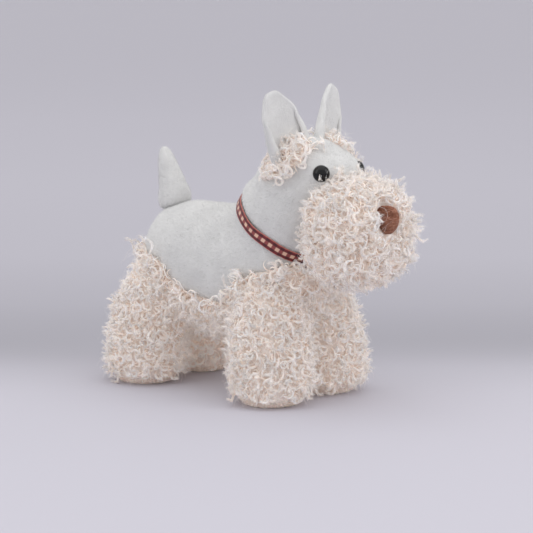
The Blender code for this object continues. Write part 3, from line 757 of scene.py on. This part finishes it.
def make_head(head, rng):
    regions = regions_of(head, HEAD_NODES)
    settle_seams(head, regions, 0.4 * MM)
    seats = [eye_seat(side) for side in SIDES]
    piece, skin = panel("head_plush", head, regions, {0}, "pile")
    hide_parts("head_skin", "head_stuffing")
    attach(piece, "head")
    short_pile("head", skin, "head", rng, NAP_DENSITY, NAP_LENGTH, NAP_WIDTH, (0, 0.9, -0.4))
    piece, skin = panel("muzzle_backing", head, regions, {1}, "backing")
    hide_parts("muzzle_skin", "muzzle_stuffing")
    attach(piece, "head")

    def clear_of_face(p):
        off_nose = (p - NOSE_CENTRE).length > NOSE_BARE
        return off_nose and all((p - seat).length > EYE_BARE for seat in seats)

    def shorter_at_cheek(roots):
        forward, up = ORIGIN_FORWARD - roots[:, 1] / MM, roots[:, 2] / MM
        return np.clip(0.4 + (forward - 93) / 20, 0.4, 1.0) * np.clip(0.5 + (up - 92) / 40, 0.5, 1.0)

    def shorter_behind(roots):
        forward = ORIGIN_FORWARD - roots[:, 1] / MM
        return np.clip(0.45 + (forward - 58) / 18, 0.45, 1.0)

    curls(
        "beard", skin, "head", rng, 3.3 * MM, (17 * MM, 25 * MM), (5.2, 8.4),
        keep=clear_of_face, shorter=shorter_at_cheek,
    )
    for i, side in enumerate(SIDES):
        piece, skin = panel(f"{side}_brow_backing", head, regions, {2 + i}, "backing")
        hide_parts(f"{side}_brow_patch")
        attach(piece, "head")
        curls(
            f"{side}_brow", skin, "head", rng, 2.8 * MM, (16 * MM, 23 * MM), (4.5, 7.5),
            keep=clear_of_face, shorter=shorter_behind,
        )
    bpy.data.objects.remove(head)


# ---------------------------------------------------------------- tail and ears

TAIL_PIVOT = place(-64.55, 0, 142.67)
TAIL_AXIS = heading(-math.sin(math.radians(18)), 0, math.cos(math.radians(18)))


def make_tail(rng):
    tail = soft_form("tail_plush", ["tail_skin", "tail_stuffing"], 1.3 * MM, 6)
    points, _, _ = arrays(tail.data)
    above = (points - np.array(TAIL_PIVOT)) @ np.array(TAIL_AXIS)
    low = np.clip((-above + 4 * MM) / (11 * MM), 0, 1)[:, None] ** 1.5
    centre = np.array(TAIL_PIVOT) + above[:, None] * np.array(TAIL_AXIS)
    high = np.clip((above - 6 * MM) / (28 * MM), 0, 1)[:, None]
    points += (points - centre) * (low * 0.45 - high * 0.22) - np.array(UP) * low * 4.5 * MM
    tail.data.vertices.foreach_set("co", points.ravel())
    tail.data.update()
    tail.data.shade_smooth()
    tail.data.materials.clear()
    tail.data.materials.append(MATERIALS["pile"])
    start, end = TAIL_PIVOT - TAIL_AXIS * 5 * MM, TAIL_PIVOT + TAIL_AXIS * 9 * MM
    skin = arrays(tail.data)
    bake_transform(tail)
    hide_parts("tail_skin", "tail_stuffing")
    short_pile(
        "tail", skin, "tail", rng, NAP_DENSITY, NAP_LENGTH, NAP_WIDTH, tuple(TAIL_AXIS),
        blend=("torso", "tail", start, end),
    )


EAR_COLUMNS, EAR_ROWS = 25, 21
EAR_HEIGHT = {"left": 40.5, "right": 38.3}
EAR_BASE = (68.5, 21.5, 187.5)
EAR_FOOT = -0.4
EAR_CUP = math.radians(15)
EAR_FOLD = math.radians(150)


def eased(x):
    x = min(max(x, 0.0), 1.0)
    return x * x * (3 - 2 * x)


def ear_section(v):
    """Half of the cross-section at a share of the height, as (across, forward, turn) from middle to edge."""
    up = min(max(v, 0.0), 1.0)
    half = 6.5 + 19.0 * (1 - up) ** 0.9 + 5.0 * min(v, 0.0)
    start = 12.0 + 4.0 * eased(1 - up / 0.6)
    fold = EAR_FOLD * eased((0.7 - up) / 0.32)
    steps = (EAR_COLUMNS - 1) // 2
    across = forward = 0.0
    found = [(0.0, 0.0, 0.0)]
    for k in range(1, steps + 1):
        run = half * (k - 0.5) / steps
        turn = EAR_CUP * run / half + fold * eased((run - start) / 4.0)
        across += math.cos(turn) * half / steps
        forward += math.sin(turn) * half / steps
        found.append((across, forward, turn))
    return found


def make_ear(name, rng):
    """A cupped leaf whose lower edges fold forwards and whose foot runs down into the head."""
    side = SIDES[name]
    up = heading(-0.10, side * 0.35, 0.93)
    facing = heading(0.97, side * 0.22, 0.0)
    facing = (facing - up * facing.dot(up)).normalized()
    across = up.cross(facing).normalized()
    base = place(EAR_BASE[0], side * EAR_BASE[1], EAR_BASE[2])
    near, far = [], []
    for j in range(EAR_ROWS):
        v = EAR_FOOT + (1 - EAR_FOOT) * j / (EAR_ROWS - 1)
        section = ear_section(v)
        for i in range(EAR_COLUMNS):
            u = 2 * i / (EAR_COLUMNS - 1) - 1
            way = 1 if u > 0 else -1
            sideways, forward, turn = section[abs(i - (EAR_COLUMNS - 1) // 2)]
            out = across * (way * math.sin(turn)) - facing * math.cos(turn)
            shoulder = 2.5 * max(0.0, abs(u) - 0.4) ** 2 * eased((v - 0.6) / 0.4) / 0.36
            rise = v * EAR_HEIGHT[name] - shoulder
            middle = base + (up * rise + across * (way * sideways) + facing * (forward - 2.0)) * MM
            edge = max(0.0, min(1.0, (1 - abs(u)) / 0.2, (1 - v) / 0.1))
            half = (0.8 + 1.1 * math.sqrt(edge * (2 - edge))) * MM
            near.append(middle - out * half)
            far.append(middle + out * half)
    points = np.array([tuple(p) for p in near + far])
    layer = len(near)
    quads = []
    for j in range(EAR_ROWS - 1):
        for i in range(EAR_COLUMNS - 1):
            a = j * EAR_COLUMNS + i
            ring = (a, a + 1, a + 1 + EAR_COLUMNS, a + EAR_COLUMNS)
            quads += [ring, tuple(layer + k for k in reversed(ring))]
    edge = list(range(EAR_COLUMNS))
    edge += [j * EAR_COLUMNS + EAR_COLUMNS - 1 for j in range(1, EAR_ROWS)]
    edge += [(EAR_ROWS - 1) * EAR_COLUMNS + i for i in range(EAR_COLUMNS - 2, -1, -1)]
    edge += [j * EAR_COLUMNS for j in range(EAR_ROWS - 2, 0, -1)]
    quads += [(b, a, layer + a, layer + b) for a, b in zip(edge, edge[1:] + edge[:1])]
    ear = mesh_piece(f"{name}_ear_plush", points, [quads], ["pile"])
    face_outwards(ear)
    rounding = ear.modifiers.new("rounding", "SUBSURF")
    rounding.levels = 2
    rounding.render_levels = 2
    applied(ear)
    ear.data.shade_smooth()
    skin = arrays(ear.data)
    start, end = base + up * 1 * MM, base + up * 12 * MM
    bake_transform(ear)
    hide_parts(f"{name}_ear_back", f"{name}_ear_lining")
    short_pile(
        f"{name}_ear", skin, f"{name}_ear", rng, NAP_DENSITY, NAP_LENGTH * 0.7, NAP_WIDTH, tuple(up),
        blend=("head", f"{name}_ear", start, end),
    )


# ---------------------------------------------------------------- nose, eyes and ribbon


def make_nose(rng):
    nose = soft_form("nose_felt", ["nose"], 0.8 * MM, 4)
    for v in nose.data.vertices:
        v.co.z -= NOSE_DROP
    nose.data.shade_smooth()
    nose.data.materials.clear()
    nose.data.materials.append(MATERIALS["felt"])
    skin = arrays(nose.data)
    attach(nose, "head")
    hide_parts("nose")
    roots, ways = scatter(skin, 0.55 * MM, rng)
    n = len(roots)
    swirl = np.cross(ways, np.array([0.25, 0.0, 1.0])) + rng.normal(size=(n, 3)) * 0.35
    along = unit(swirl - ways * (swirl * ways).sum(1, keepdims=True))
    steps = 7
    s = np.linspace(-0.5, 0.5, steps)
    reach = rng.uniform(1.5, 4.5, n) * MM
    centre = np.array(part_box("nose")[0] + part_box("nose")[1]) / 2
    bend = 1 / (9 * MM)
    flat = along[:, None, :] * (s[None, :] * reach[:, None])[..., None]
    drop = ways[:, None, :] * ((s[None, :] * reach[:, None]) ** 2 * bend / 2)[..., None]
    path = roots[:, None, :] + flat - drop + ways[:, None, :] * 0.12 * MM
    axis = np.cross(ways, along)
    tone = rng.choice([0, 1, 2], n, p=[0.2, 0.5, 0.3])
    high_left = (roots[:, 0] < centre[0] - 2 * MM) & (roots[:, 2] > centre[2] + 1 * MM)
    tone[high_left & (rng.random(n) < 0.6)] = 0
    points, quads, caps, strand, _ = tubes(path, axis, np.full(n, 0.26 * MM))
    slots = np.concatenate([tone[strand], tone, tone])
    fibres = mesh_piece("nose_fibres", points, [quads, caps], ["felt_dark", "felt_mid", "felt_light"], slots)
    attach(fibres, "head")


def turned_piece(name, profile, centre, axis, around, slot):
    """A closed turned solid from (radius, height) pairs that start and end on the axis."""
    side = axis.orthogonal().normalized()
    front = axis.cross(side)
    points = [centre + axis * profile[0][1]]
    for radius, height in profile[1:-1]:
        for k in range(around):
            a = 2 * math.pi * k / around
            points.append(centre + axis * height + (side * math.cos(a) + front * math.sin(a)) * radius)
    points.append(centre + axis * profile[-1][1])
    quads, fans = [], []
    rings = len(profile) - 2
    for r in range(rings - 1):
        for k in range(around):
            a, b = 1 + r * around + k, 1 + r * around + (k + 1) % around
            quads.append((a, b, b + around, a + around))
    top = len(points) - 1
    for k in range(around):
        fans.append((0, 1 + (k + 1) % around, 1 + k))
        fans.append((top, 1 + (rings - 1) * around + k, 1 + (rings - 1) * around + (k + 1) % around))
    return mesh_piece(name, np.array(points), [quads, fans], [slot])


def make_eyes():
    for side in SIDES:
        seat = eye_seat(side) - EYE_LOOK[side] * EYE_SUNK
        profile = [(0, -11), (0.9, -11), (0.9, 0.9), (5.2, 0.9), (5.9, 1.25), (6.0, 1.6)]
        profile += [(6 * math.cos(a), 1.6 + 4.4 * math.sin(a)) for a in np.radians(np.arange(7, 88, 8))]
        profile += [(0, 6.0)]
        profile = [(r * MM, h * MM) for r, h in profile]
        eye = turned_piece(f"{side}_eye_dome", profile, seat, EYE_LOOK[side], 40, "black")
        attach(eye, "head")
        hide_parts(f"{side}_eye")


# Across the ribbon: how far each stripe reaches, as a share of the half width, and its two colours by turns.
RIBBON_STRIPES = [
    (-1.0, -0.90, "ribbon_selvedge", "ribbon_selvedge"),
    (-0.90, -0.62, "ribbon_burgundy", "ribbon_red"),
    (-0.62, -0.34, "ribbon_burgundy", "ribbon_red"),
    (-0.34, 0.34, "ribbon_rose", "ribbon_cream"),
    (0.34, 0.62, "ribbon_burgundy", "ribbon_red"),
    (0.62, 0.90, "ribbon_burgundy", "ribbon_red"),
    (0.90, 1.0, "ribbon_selvedge", "ribbon_selvedge"),
]
RIBBON_COLOURS = ["ribbon_burgundy", "ribbon_red", "ribbon_rose", "ribbon_cream", "ribbon_selvedge"]
CHECK = 3.0 * MM
RIBBON_HALF = 4.0 * MM
RIBBON_THICK = 0.55 * MM
RIBBON_RADIUS = 39.0 * MM
LOOSE_END_ROWS = 11


def ribbon_strip(name, rows, closed):
    """A woven strip from rows of (centre, across, outward); each row is half a check long."""
    marks = [RIBBON_STRIPES[0][0]] + [stripe[1] for stripe in RIBBON_STRIPES]
    columns = len(marks)
    outer, inner = [], []
    for centre, across, outward in rows:
        for share in marks:
            sag = 0.25 * MM * (1 - share * share)
            at = centre + across * share * RIBBON_HALF + outward * sag
            outer.append(at + outward * RIBBON_THICK / 2)
            inner.append(at - outward * RIBBON_THICK / 2)
    points = outer + inner
    layer = len(outer)
    count = len(rows)
    quads, slots = [], []
    for r in range(count if closed else count - 1):
        nxt = (r + 1) % count
        for c in range(columns - 1):
            a, b = r * columns + c, r * columns + c + 1
            d, e = nxt * columns + c, nxt * columns + c + 1
            colour = RIBBON_COLOURS.index(RIBBON_STRIPES[c][2 + (r // 2) % 2])
            quads += [(a, b, e, d), (layer + a, layer + d, layer + e, layer + b)]
            slots += [colour, colour]
        edge = RIBBON_COLOURS.index("ribbon_selvedge")
        for c, flip in ((0, False), (columns - 1, True)):
            a, d = r * columns + c, nxt * columns + c
            face = (a, d, layer + d, layer + a)
            quads.append(tuple(reversed(face)) if flip else face)
            slots.append(edge)
    if not closed:
        for r, flip in ((0, True), (count - 1, False)):
            for c in range(columns - 1):
                a, b = r * columns + c, r * columns + c + 1
                face = (a, b, layer + b, layer + a)
                quads.append(tuple(reversed(face)) if flip else face)
                slots.append(RIBBON_COLOURS.index("ribbon_burgundy"))
    piece = mesh_piece(name, np.array([tuple(p) for p in points]), [quads], RIBBON_COLOURS, slots)
    face_outwards(piece)
    return piece


def make_ribbon():
    throat = heading(math.cos(NECK_LEAN), 0, -math.sin(NECK_LEAN))
    side = NECK_AXIS.cross(throat)
    cells = 2 * round(2 * math.pi * RIBBON_RADIUS / CHECK / 2) * 2
    rows = []
    for k in range(cells):
        a = 2 * math.pi * k / cells
        outward = throat * math.cos(a) + side * math.sin(a)
        wave = 0.35 * MM * math.sin(5 * a + 0.6) + 0.2 * MM * math.sin(9 * a)
        drop = 2.5 * MM * (1 - math.cos(a)) / 2
        centre = NECK_CENTRE + outward * (RIBBON_RADIUS + 0.25 * MM) + NECK_AXIS * (wave - drop)
        tilt = 0.10 * math.sin(3 * a + 1.0) + 0.06 * math.sin(7 * a)
        across = (NECK_AXIS * math.cos(tilt) + outward * math.sin(tilt)).normalized()
        rows.append((centre, across, outward))
    band = ribbon_strip("ribbon_band", rows, True)
    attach(band, "collar")
    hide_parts("collar_ribbon")

    rows = []
    for k in range(LOOSE_END_ROWS):
        share = k / (LOOSE_END_ROWS - 1)
        a = share * 14 / 40.2
        outward = throat * math.cos(a) + Vector((-1, 0, 0)) * math.sin(a)
        centre = NECK_CENTRE + outward * (40.5 + 1.2 * share**2) * MM - NECK_AXIS * (2.0 * share) * MM
        rows.append((centre, NECK_AXIS, outward))
    end = ribbon_strip("ribbon_loose_end", rows, False)
    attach(end, "collar")
    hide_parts("collar_ribbon_end")


def dress_hardware():
    """Gives the joint's hidden parts their own materials."""
    wear = {
        "neck_disc_body": "board",
        "neck_disc_head": "board",
        "neck_washer_body": "steel",
        "neck_washer_head": "steel",
        "neck_cotter_pin": "steel",
        "left_eye_washer": "plastic",
        "right_eye_washer": "plastic",
    }
    for node, slot in wear.items():
        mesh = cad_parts[node].data
        if not mesh.materials:
            mesh.materials.append(MATERIALS[slot])
        for number in range(len(mesh.materials)):
            mesh.materials[number] = MATERIALS[slot]


# ---------------------------------------------------------------- stage, light and camera

VIEW_TURN = math.radians(41.3)
VIEW_FALL = math.radians(8.6)
VIEW_RIGHT = Vector((math.sin(VIEW_TURN), -math.cos(VIEW_TURN), 0))
VIEW_AWAY = Vector((math.cos(VIEW_TURN), math.sin(VIEW_TURN), 0))
VIEW_DISTANCE = 1.5
VIEW_WIDTH = 0.39975
VIEW_SHIFT_RIGHT = 0.0221
VIEW_SHIFT_UP = 0.0885
SENSOR = 36
FEET = Vector((0, ORIGIN_FORWARD * MM, 0))


def make_floor():
    """A wide pale sheet with painted shade: its colour deepens in a band behind the dog and lightens again
    further off.
    """
    size = 60.0
    points = [(x * size, y * size, 0) for x, y in ((-1, -1), (1, -1), (1, 1), (-1, 1))]
    mesh = bpy.data.meshes.new("floor")
    mesh.from_pydata(points, [], [(0, 1, 2, 3)])
    floor = bpy.data.objects.new("floor", mesh)
    bpy.context.scene.collection.objects.link(floor)
    mat, tree, surface = principled("pale_sheet", (0.6, 0.6, 0.64), 0.75, Specular_IOR_Level=0.1)
    at = add(tree, "ShaderNodeTexCoord").outputs["Object"]
    away = add(tree, "ShaderNodeVectorMath", operation="DOT_PRODUCT")
    away.inputs[1].default_value = VIEW_AWAY
    tree.links.new(at, away.inputs[0])
    spread = add(tree, "ShaderNodeMapRange")
    spread.inputs["From Min"].default_value = -0.4
    spread.inputs["From Max"].default_value = 2.6
    tree.links.new(away.outputs["Value"], spread.inputs["Value"])
    ramp = add(tree, "ShaderNodeValToRGB")
    ramp.color_ramp.interpolation = "B_SPLINE"
    stops = ramp.color_ramp.elements
    # Painted shade: the dip in these levels is the dark band behind the dog.
    levels = [
        (0.0, 0.72), (0.13, 0.71), (0.16, 0.64), (0.18, 0.52), (0.205, 0.46),
        (0.26, 0.54), (0.36, 0.63), (0.60, 0.72), (1.0, 0.77),
    ]
    stops[0].position, stops[-1].position = levels[0][0], levels[-1][0]
    for position, _ in levels[1:-1]:
        stops.new(position)
    for stop, (_, level) in zip(stops, levels):
        stop.color = (level * 0.78, level * 0.765, level * 0.85, 1)
    tree.links.new(spread.outputs["Result"], ramp.inputs["Fac"])
    tree.links.new(ramp.outputs["Color"], surface.inputs["Base Color"])
    mesh.materials.append(mat)


def soft_box(name, at, look, size, power, colour=(1, 1, 1)):
    light = bpy.data.lights.new(name, "AREA")
    light.shape = "RECTANGLE"
    light.size, light.size_y = size
    light.energy = power
    light.color = colour
    obj = bpy.data.objects.new(name, light)
    obj.location = at
    obj.rotation_mode = "QUATERNION"
    obj.rotation_quaternion = (Vector(look) - Vector(at)).to_track_quat("-Z", "Y")
    bpy.context.scene.collection.objects.link(obj)


def make_light():
    scene = bpy.context.scene
    world = bpy.data.worlds.new("studio")
    scene.world = world
    world.use_nodes = True
    sky = world.node_tree.nodes["Background"]
    sky.inputs["Color"].default_value = (1.0, 0.99, 1.0, 1)
    sky.inputs["Strength"].default_value = 0.8
    middle = FEET + UP * 0.1
    soft_box("top_box", middle + UP * 1.7 - VIEW_AWAY * 0.3, middle, (2.2, 2.2), 10)
    soft_box("left_box", middle - VIEW_RIGHT * 1.5 - VIEW_AWAY * 0.9 + UP * 0.9, middle, (1.0, 1.4), 5)
    soft_box("right_box", middle + VIEW_RIGHT * 1.5 - VIEW_AWAY * 0.7 + UP * 0.8, middle, (0.8, 1.3), 7)
    scene.view_settings.view_transform = "Standard"


def make_camera():
    scene = bpy.context.scene
    up = VIEW_AWAY * math.sin(VIEW_FALL) + UP * math.cos(VIEW_FALL)
    look = VIEW_AWAY * math.cos(VIEW_FALL) - UP * math.sin(VIEW_FALL)
    middle = FEET + VIEW_RIGHT * VIEW_SHIFT_RIGHT + up * VIEW_SHIFT_UP
    camera = bpy.data.cameras.new("camera")
    camera.sensor_width = SENSOR
    camera.lens = SENSOR * VIEW_DISTANCE / VIEW_WIDTH
    obj = bpy.data.objects.new("camera", camera)
    obj.location = middle - look * VIEW_DISTANCE
    obj.rotation_mode = "QUATERNION"
    obj.rotation_quaternion = look.to_track_quat("-Z", "Y")
    scene.collection.objects.link(obj)
    scene.camera = obj


make_camera()
make_light()
make_floor()
torso_form, head_form = make_forms()
make_torso(torso_form, np.random.default_rng(SEED))
make_head(head_form, np.random.default_rng(SEED + 1))
make_tail(np.random.default_rng(SEED + 2))
for number, side_name in enumerate(SIDES):
    make_ear(side_name, np.random.default_rng(SEED + 3 + number))
make_nose(np.random.default_rng(SEED + 5))
make_eyes()
make_ribbon()
dress_hardware()
